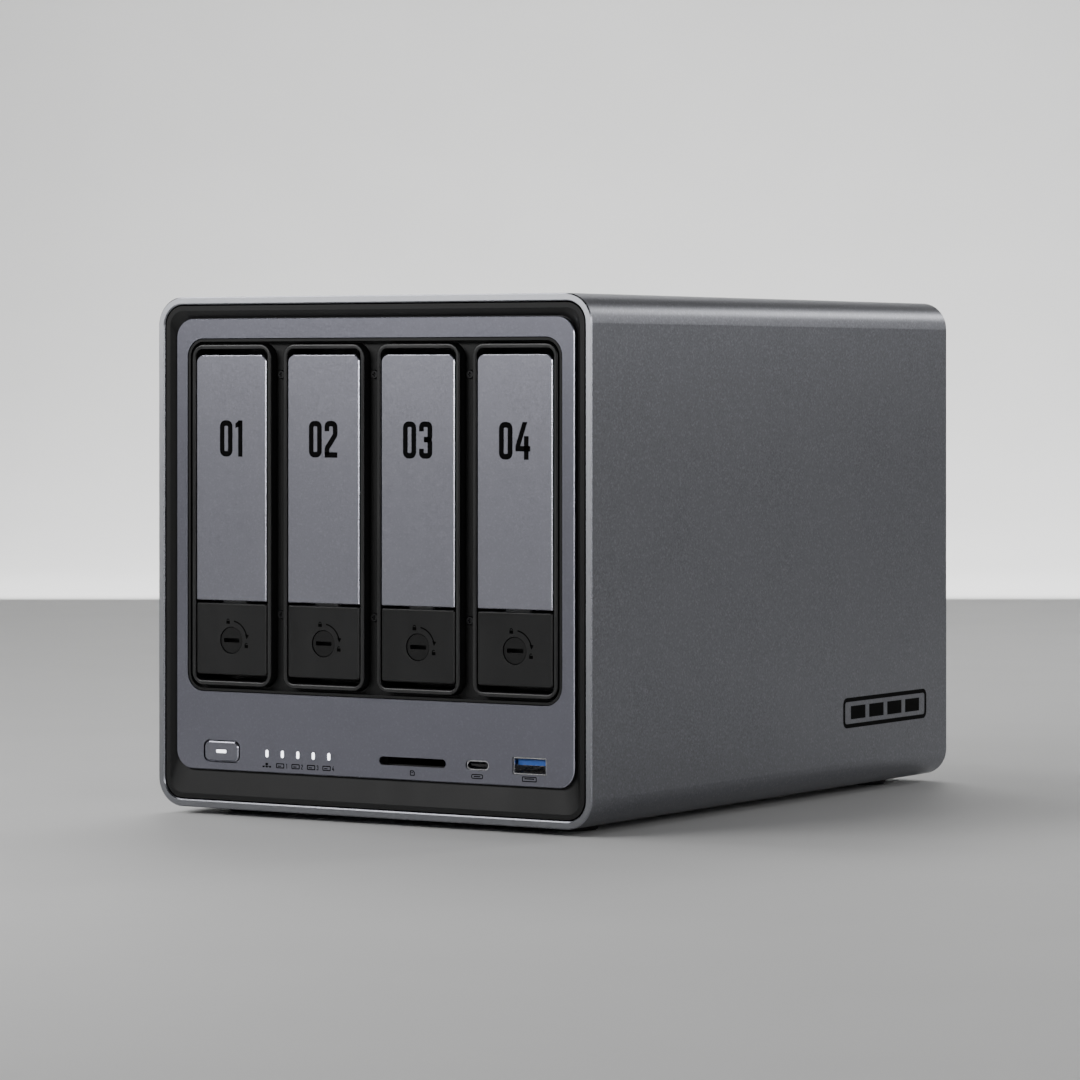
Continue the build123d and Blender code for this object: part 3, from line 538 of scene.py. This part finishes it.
def numeral(digit):
    """Strokes of a condensed numeral 12.6 mm tall about its centre, and its width. Digits go from 0 to 4."""
    a, b, cap = HALF_WIDE, HALF_TALL, HALF_TALL + STROKE / 2
    if digit == 0:
        return [(rounded([(-a, -b), (a, -b), (a, b), (-a, b)], 1.5, True), STROKE, True)], 2 * a + STROKE
    if digit == 1:
        flag = [(-1.45, cap - 2.7), (-1.45, cap - 1.1), (0.1, cap), (0.6, cap), (0.6, cap - 1.9)]
        bar = [(-0.25, -cap), (1.55, -cap), (1.55, cap), (-0.25, cap)]
        return [(bar,), (flag,)], 3.0
    if digit == 2:
        path = rounded([(-a, b - 2.6), (-a, b), (a, b), (a, 1.5), (-a, -3.2), (-a, -b)], 1.4)
        base = [(-a - 0.9, -cap), (a + 0.9, -cap), (a + 0.9, -b + 0.9), (-a - 0.9, -b + 0.9)]
        return [(path, STROKE, False), (base,)], 2 * a + STROKE
    if digit == 3:
        upper = rounded([(-a, b - 2.4), (-a, b), (a, b), (a, 0.15), (-0.7, 0.15)], 1.3)
        lower = rounded([(-0.7, 0.15), (a, 0.15), (a, -b), (-a, -b), (-a, -b + 2.4)], 1.3)
        return [(upper, STROKE, False), (lower, STROKE, False)], 2 * a + STROKE
    slope = [(-0.1, cap), (1.75, cap), (-1.05, -1.7), (-2.9, -1.7)]
    bar = [(-2.9, -3.5), (2.9, -3.5), (2.9, -1.7), (-2.9, -1.7)]
    post = [(0.45, -cap), (2.25, -cap), (2.25, 1.6), (0.45, 1.6)]
    return [(slope,), (bar,), (post,)], 5.8


def number(digits, centre=(0, 0), scale=1.0):
    """The marks of a row of numerals about a centre."""
    glyphs = [numeral(digit) for digit in digits]
    total = sum(width for _, width in glyphs) + NUMERAL_GAP * (len(glyphs) - 1)
    left, out = -total / 2, []
    for marks, width in glyphs:
        out += moved(marks, Vector(centre) + Vector((left + width / 2, 0)) * scale, scale)
        left += width + NUMERAL_GAP
    return out


# ---------------------------------------------------------------- signs


def frame_mark(wide, tall, radius, width=0.3):
    """A rounded outline about the origin."""
    a, b = wide / 2, tall / 2
    return (rounded([(-a, -b), (a, -b), (a, b), (-a, b)], radius, True), width, True)


def block_mark(left, low, right, high):
    return ([(left, low), (right, low), (right, high), (left, high)],)


def padlock(centre, size, angle=0.0):
    """A small padlock: a filled body under a shackle, swung open by an angle."""
    cx, cy = centre
    half, tall = size * 0.5, size * 0.62
    swing = Matrix.Rotation(math.radians(angle), 2)
    hook = arc((0, 0), size * 0.32, 0, 180, 8)
    hook = [swing @ point + Vector((cx, cy + tall * 0.35)) for point in hook]
    return [block_mark(cx - half, cy - tall, cx + half, cy + tall * 0.2), (hook, size * 0.2, False)]


def lock_marks():
    """An arrow round the lock, from a closed padlock to an open one."""
    curve = arc((0, 0), 6.8, 80, 14)
    head = [(5.95, 2.3), (7.5, 2.0), (6.62, 0.55)]
    return [(curve, 0.46, False), (head,)] + padlock((-1.3, 6.6), 1.45) + padlock((6.5, -1.6), 1.45, 35)


def link_mark():
    """A network: one block above a line, with three below it."""
    upper = [block_mark(-0.55, 0.05, 0.55, 0.75), block_mark(-0.13, -0.35, 0.13, 0.05)]
    line = block_mark(-1.75, -0.45, 1.75, -0.22)
    return upper + [line] + [block_mark(x - 0.42, -0.8, x + 0.42, -0.22) for x in (-1.4, 0.0, 1.4)]


def disk_mark(digit):
    """A drive's outline with the bay's numeral beside it."""
    drive = [frame_mark(3.1, 1.4, 0.2, 0.36), block_mark(-1.0, -0.3, 0.4, 0.05)]
    return moved(drive, (-0.85, 0)) + number((digit,), (1.85, 0), 0.135)


def card_mark():
    """A memory card with a cut corner."""
    card = rounded([(-0.8, -0.75), (0.8, -0.75), (0.8, 0.3), (0.35, 0.75), (-0.8, 0.75)], 0.12, True)
    return [(card, 0.34, True), block_mark(-0.4, 0.0, 0.35, 0.3)]


def pill_mark():
    """A rounded socket."""
    return [frame_mark(4.4, 1.3, 0.6, 0.34), block_mark(-1.3, -0.17, 1.3, 0.17)]


def box_mark():
    """A square socket."""
    return [frame_mark(5.4, 1.45, 0.1, 0.34), block_mark(-1.9, -0.05, 1.9, 0.35)]


def monitor_mark():
    """A screen on a foot."""
    return [frame_mark(4.6, 2.6, 0.3), block_mark(-1.0, -2.0, 1.0, -1.7)]


def power_mark():
    """A broken ring with a bar in its gap."""
    return [(arc((0, 0), 1.1, 130, 410, 16), 0.3, False), block_mark(-0.16, 0.2, 0.16, 1.5)]


def reset_mark():
    """A broken ring."""
    return [(arc((0, 0), 1.0, 60, 350, 14), 0.3, False)]


def bays_mark():
    """Four filled blocks in a wide frame, one for each bay."""
    blocks = [block_mark(x - 5.6, -2.4, x + 5.6, 2.4) for x in (-21.3, -7.1, 7.1, 21.3)]
    return [frame_mark(64.1, 9.5, 2.2, 1.5)] + blocks


# ---------------------------------------------------------------- printed marks

NUMBER_RISE = 56.35 * MM           # the bay numbers' middle above the plate's lower edge
LABEL_DROP = 4.0 * MM              # the labels' middle below the middle of the lights
LIGHT_MARGIN = 2.0 * MM            # from the end of the light pipes to the middle of the first light
SIDE_MARK_AT = (208.0, 28.0)       # along the right side from its front edge, and up from its lower edge
LAN_SIGN_UP = 32.2                 # this and the next four are up from the case's lower edge
USB_SIGN_UP = 27.5
MONITOR_SIGN_UP = 28.0
POWER_SIGN_UP = 31.5
RESET_SIGN_UP = 25.5

for n in BAYS:
    x = middle(f"face_plate_{n}").x
    plate_low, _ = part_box(f"face_plate_{n}")
    on_plate = on_front(x, plate_low[2] + NUMBER_RISE, plate_low[1])
    print_marks(f"bay_number_{n}", number((0, n)), on_plate, FRONT,
                black_ink, f"handle_{n}")
    button_low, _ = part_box(f"release_button_{n}")
    on_button = on_front(x, middle(f"lock_{n}").z, button_low[1])
    print_marks(f"lock_marks_{n}", lock_marks(), on_button, FRONT,
                button_ink, f"release_{n}")

lights_low, lights_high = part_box("light_pipes")
label_z = middle("light_pipes").z - LABEL_DROP
first_x = lights_low[0] + LIGHT_MARGIN
pitch = (lights_high[0] - lights_low[0] - 2 * LIGHT_MARGIN) / len(BAYS)
light_marks = link_mark()
for n in BAYS:
    light_marks += moved(disk_mark(n), (n * pitch / MM, 0))
print_marks("light_marks", light_marks, on_front(first_x, label_z, panel_low[1]), FRONT,
            black_ink, "chassis")

port_marks = moved(card_mark(), (middle("card_slot").x / MM, 0))
port_marks += moved(pill_mark(), (middle("usb_c_socket").x / MM, 0))
port_marks += moved(box_mark(), (front_usb_x / MM, 0))
print_marks("port_marks", port_marks, on_front(0, label_z, panel_low[1]), FRONT,
            black_ink, "chassis")

print_marks("side_mark", moved(bays_mark(), SIDE_MARK_AT), on_right, RIGHT,
            black_ink, "chassis")

rear_marks = []
for x in lan_places:
    rear_marks += moved(link_mark(), (-x / MM, LAN_SIGN_UP), 1.15)
for x in rear_usb_places:
    rear_marks += moved(box_mark(), (-x / MM, USB_SIGN_UP), 0.95)
rear_marks += moved(monitor_mark(), (-middle("hdmi_socket").x / MM, MONITOR_SIGN_UP))
rear_marks += moved(power_mark(), (-middle("power_inlet").x / MM, POWER_SIGN_UP))
rear_marks += moved(reset_mark(), (-middle("reset_button").x / MM, RESET_SIGN_UP))
rear_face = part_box("rear_panel")[1][1]
print_marks("rear_marks", rear_marks, on_back(0, shell_low[2], rear_face), REAR,
            pale_ink, "chassis")


# ---------------------------------------------------------------- contacts in the sockets

USB_FINGERS = (-3.5, -1.0, 1.0, 3.5)  # the fingers' middles, from the tongue's middle
USB_FINGER = (1.0, 7.4, 0.14)      # a finger's width, length and thickness
USB_FINGER_BACK = 0.6              # from the tongue's tip to the fingers
LAN_PINS = 8
LAN_PITCH = 1.02
LAN_PIN_HALF_WIDE = 0.22
LAN_PIN_THICK = 0.3
LAN_PIN_ENDS = (12.5, 3.0)         # the pins' ends, in from the socket's mouth
LAN_LEG_FACES = (3.4, 3.1)         # the legs' faces, in from the socket's mouth
LAN_LEG_DROP = 2.4                 # the legs' length, down from the pins' top
LAN_PIN_RISE = 4.05                # the pins' top above the socket's middle


def add_bar(bm, low, high):
    """A straight bar between two corners, with its edges eased."""
    size = [high[i] - low[i] for i in range(3)]
    centre = Vector([(high[i] + low[i]) / 2 for i in range(3)])
    made = bmesh.ops.create_cube(bm, size=1.0)["verts"]
    bmesh.ops.scale(bm, verts=made, vec=size)
    bmesh.ops.translate(bm, verts=made, vec=centre)
    edges = list({edge for vert in made for edge in vert.link_edges})
    bmesh.ops.bevel(bm, geom=edges, offset=0.05 * MM, segments=2, affect="EDGES")


def usb_contacts(name, x, top, tip, inward):
    """Four sprung fingers under a tongue, from near its tip. inward is 1 towards +Y and -1 towards -Y."""
    wide, long, thick = USB_FINGER
    bm = bmesh.new()
    for k in USB_FINGERS:
        ends = sorted((tip + inward * USB_FINGER_BACK * MM, tip + inward * (USB_FINGER_BACK + long) * MM))
        low = (x + (k - wide / 2) * MM, ends[0], top - thick * MM)
        add_bar(bm, low, (x + (k + wide / 2) * MM, ends[1], top))
    new_piece(name, bm, gold, "chassis")


def lan_contacts(name, x):
    """Eight pins along the socket's roof, each with a leg that hangs into its mouth."""
    mouth = lan_high[1]
    roof = middle("lan_sockets").z + LAN_PIN_RISE * MM
    bm = bmesh.new()
    for k in range(LAN_PINS):
        pin_x = x + (k - (LAN_PINS - 1) / 2) * LAN_PITCH * MM
        left, right = pin_x - LAN_PIN_HALF_WIDE * MM, pin_x + LAN_PIN_HALF_WIDE * MM
        for (inner, outer), drop in ((LAN_PIN_ENDS, LAN_PIN_THICK), (LAN_LEG_FACES, LAN_LEG_DROP)):
            add_bar(bm, (left, mouth - inner * MM, roof - drop * MM), (right, mouth - outer * MM, roof))
    new_piece(name, bm, gold, "chassis")


usb_contacts("front_usb_contacts", front_usb_x, tongues_low[2], tongues_low[1], 1)
for n, x in enumerate(rear_usb_places, 1):
    usb_contacts(f"rear_usb_contacts_{n}", x, tongues_high[2] - TONGUE_THICK, tongues_high[1], -1)
for n, x in enumerate(lan_places, 1):
    lan_contacts(f"lan_contacts_{n}", x)


# ---------------------------------------------------------------- woven dust screen

WIRE = 0.3 * MM
WIRE_PITCH = 2.0 * MM
WEAVE_LIFT = WIRE * 0.45           # how far a wire bends out of the screen's middle at a crossing
SCREEN_EDGE = 3.0 * MM             # left without wires in the frame's groove, both sides together


def add_wire(bm, points, radius, sides=4):
    """A thin wire along points, as a closed tube with few sides."""
    rings = []
    for i, here in enumerate(points):
        way = (points[min(i + 1, len(points) - 1)] - points[max(i - 1, 0)]).normalized()
        side = way.cross(REAR).normalized()
        up = side.cross(way).normalized()
        ring = []
        for k in range(sides):
            turn = 2 * math.pi * (k + 0.5) / sides
            ring.append(bm.verts.new(here + (side * math.cos(turn) + up * math.sin(turn)) * radius))
        rings.append(ring)
    for first, second in zip(rings, rings[1:]):
        for k in range(sides):
            bm.faces.new((first[k], first[(k + 1) % sides], second[(k + 1) % sides], second[k]))
    bm.faces.new(rings[0])
    bm.faces.new(list(reversed(rings[-1])))


def woven_wires(node):
    """Wires up and across a node's box, each over one and under the next."""
    low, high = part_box(node)
    centre = middle(node)
    across = int((high[0] - low[0] - SCREEN_EDGE) / WIRE_PITCH)
    upward = int((high[2] - low[2] - SCREEN_EDGE) / WIRE_PITCH)

    def crossing(i, j, lift):
        x = (i - across / 2) * WIRE_PITCH
        z = centre.z + (j - upward / 2) * WIRE_PITCH
        return Vector((x, centre.y + (lift if (i + j) % 2 else -lift), z))

    bm = bmesh.new()
    for i in range(across + 1):
        add_wire(bm, [crossing(i, j, WEAVE_LIFT) for j in range(upward + 1)], WIRE / 2)
    for j in range(upward + 1):
        add_wire(bm, [crossing(i, j, -WEAVE_LIFT) for i in range(across + 1)], WIRE / 2)
    return bm


wires = woven_wires("screen_mesh")
woven = new_piece("woven_screen", wires, looks["mesh_steel"], "dust_screen")
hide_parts("screen_mesh")


# ---------------------------------------------------------------- springs behind the release buttons

COIL_WIRE = 0.3 * MM               # half the wire's thickness
COIL_TURNS = 4
COIL_STEPS = 16                    # points round one turn
COIL_SIDES = 8


def coil_pair(low, high):
    """Two coil springs side by side, along Y, that fill a box."""
    steps = COIL_TURNS * COIL_STEPS
    outer = (high[2] - low[2]) / 2
    radius = outer - COIL_WIRE
    first, last = low[1] + COIL_WIRE, high[1] - COIL_WIRE
    bm = bmesh.new()
    for x in (low[0] + outer, high[0] - outer):
        points = []
        for i in range(steps + 1):
            turn = 2 * math.pi * i / COIL_STEPS
            y = first + (last - first) * i / steps
            points.append(Vector((x + radius * math.cos(turn), y, low[2] + outer + radius * math.sin(turn))))
        add_wire(bm, points, COIL_WIRE, COIL_SIDES)
    return bm


for n in BAYS:
    low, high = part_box(f"release_springs_{n}")
    coils = new_piece(f"release_coils_{n}", coil_pair(low, high), looks["spring_steel"], f"tray_{n}",
                      smooth=True)
    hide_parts(f"release_springs_{n}")
    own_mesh(coils)


# ---------------------------------------------------------------- floor, camera and lights, in metres

VIEW_YAW = math.radians(32.01)
FLOOR_HALF_WIDE = 4.5
FLOOR_NEAR = -3.2
BEND_START = 1.6
BEND_RADIUS = 0.9
BEND_STEPS = 10
WALL_TOP = 4.0


def pale_paint():
    """Even pale paint, with faint clouds."""
    look = Look("pale floor", (0.72, 0.72, 0.715), rough=0.6)
    cloud = look.ramp(look.noise(90.0, 3.0), 0.3, 0.7)
    look.set("Base Color", look.tint(cloud, (0.71, 0.71, 0.705), (0.73, 0.73, 0.725)))
    return look


def floor_sheet():
    """A floor that bends up into a wall behind the object, square to the camera."""
    profile = [(FLOOR_NEAR, 0.0), (BEND_START, 0.0)]
    for k in range(1, BEND_STEPS + 1):
        turn = math.radians(90 * k / BEND_STEPS)
        height = BEND_RADIUS * (1 - math.cos(turn))
        profile.append((BEND_START + BEND_RADIUS * math.sin(turn), height))
    profile.append((BEND_START + BEND_RADIUS, WALL_TOP))
    bm = bmesh.new()
    rows = []
    for depth, height in profile:
        rows.append([bm.verts.new(Vector((side * FLOOR_HALF_WIDE, depth, height))) for side in (-1, 1)])
    for (a, b), (c, d) in zip(rows, rows[1:]):
        bm.faces.new((a, b, d, c))
    bmesh.ops.rotate(bm, verts=bm.verts, cent=(0, 0, 0), matrix=Matrix.Rotation(VIEW_YAW, 3, "Z"))
    return bm


floor = mesh_object("floor", floor_sheet(), pale_paint(), smooth=True)

camera_data = bpy.data.cameras.new("camera")
camera_data.lens = 153.6
camera_data.sensor_width = 36.0
camera_data.shift_y = -0.1496
camera_data.clip_start = 0.05
camera = add_object("camera", camera_data)
camera.location = (0.8815, -1.42885, 0.1521)
camera.rotation_euler = (math.radians(90), 0, VIEW_YAW)
bpy.context.scene.camera = camera


def softbox(name, place, target, size, power):
    """A soft rectangular light at a place, aimed at a target."""
    data = bpy.data.lights.new(name, "AREA")
    data.shape = "RECTANGLE"
    data.size, data.size_y = size
    data.energy = power
    lamp = add_object(name, data)
    lamp.location = place
    lamp.rotation_euler = (Vector(target) - Vector(place)).to_track_quat("-Z", "Y").to_euler()


softbox("key", (-0.40, -0.72, 0.42), (0.0, -0.13, 0.16), (0.6, 0.12), 4.1)
softbox("overhead", (-0.62, -0.14, 1.05), (0.0, -0.1, 0.15), (0.4, 0.4), 3.0)
softbox("edge", (1.25, -0.95, 0.40), (0.05, -0.1, 0.1), (0.2, 0.5), 3.5)
softbox("back", (0.48, 1.28, 0.74), (0.08, 0.0, 0.17), (0.28, 0.2), 2.9)
softbox("side", (1.3, 1.6, 0.9), (0.08, 0.0, 0.15), (0.8, 0.5), 0.3)
softbox("side_near", (1.0, 0.75, 0.5), (0.09, 0.0, 0.12), (0.4, 0.25), 1.6)
softbox("side_low", (0.85, 1.30, 0.35), (0.09, 0.0, 0.12), (0.6, 0.2), 0.6)
softbox("ground", (-0.5, 0.9, 1.4), (-0.1, 0.3, 0.0), (0.9, 0.9), 8)
softbox("backdrop", (-0.6, 1.3, 0.25), (-1.3, 2.4, 0.6), (1.6, 0.4), 26)

world = bpy.data.worlds.new("studio")
world.use_nodes = True
sky = world.node_tree.nodes["Background"]
sky.inputs["Color"].default_value = (0.72, 0.73, 0.75, 1)
sky.inputs["Strength"].default_value = 0.05
bpy.context.scene.world = world
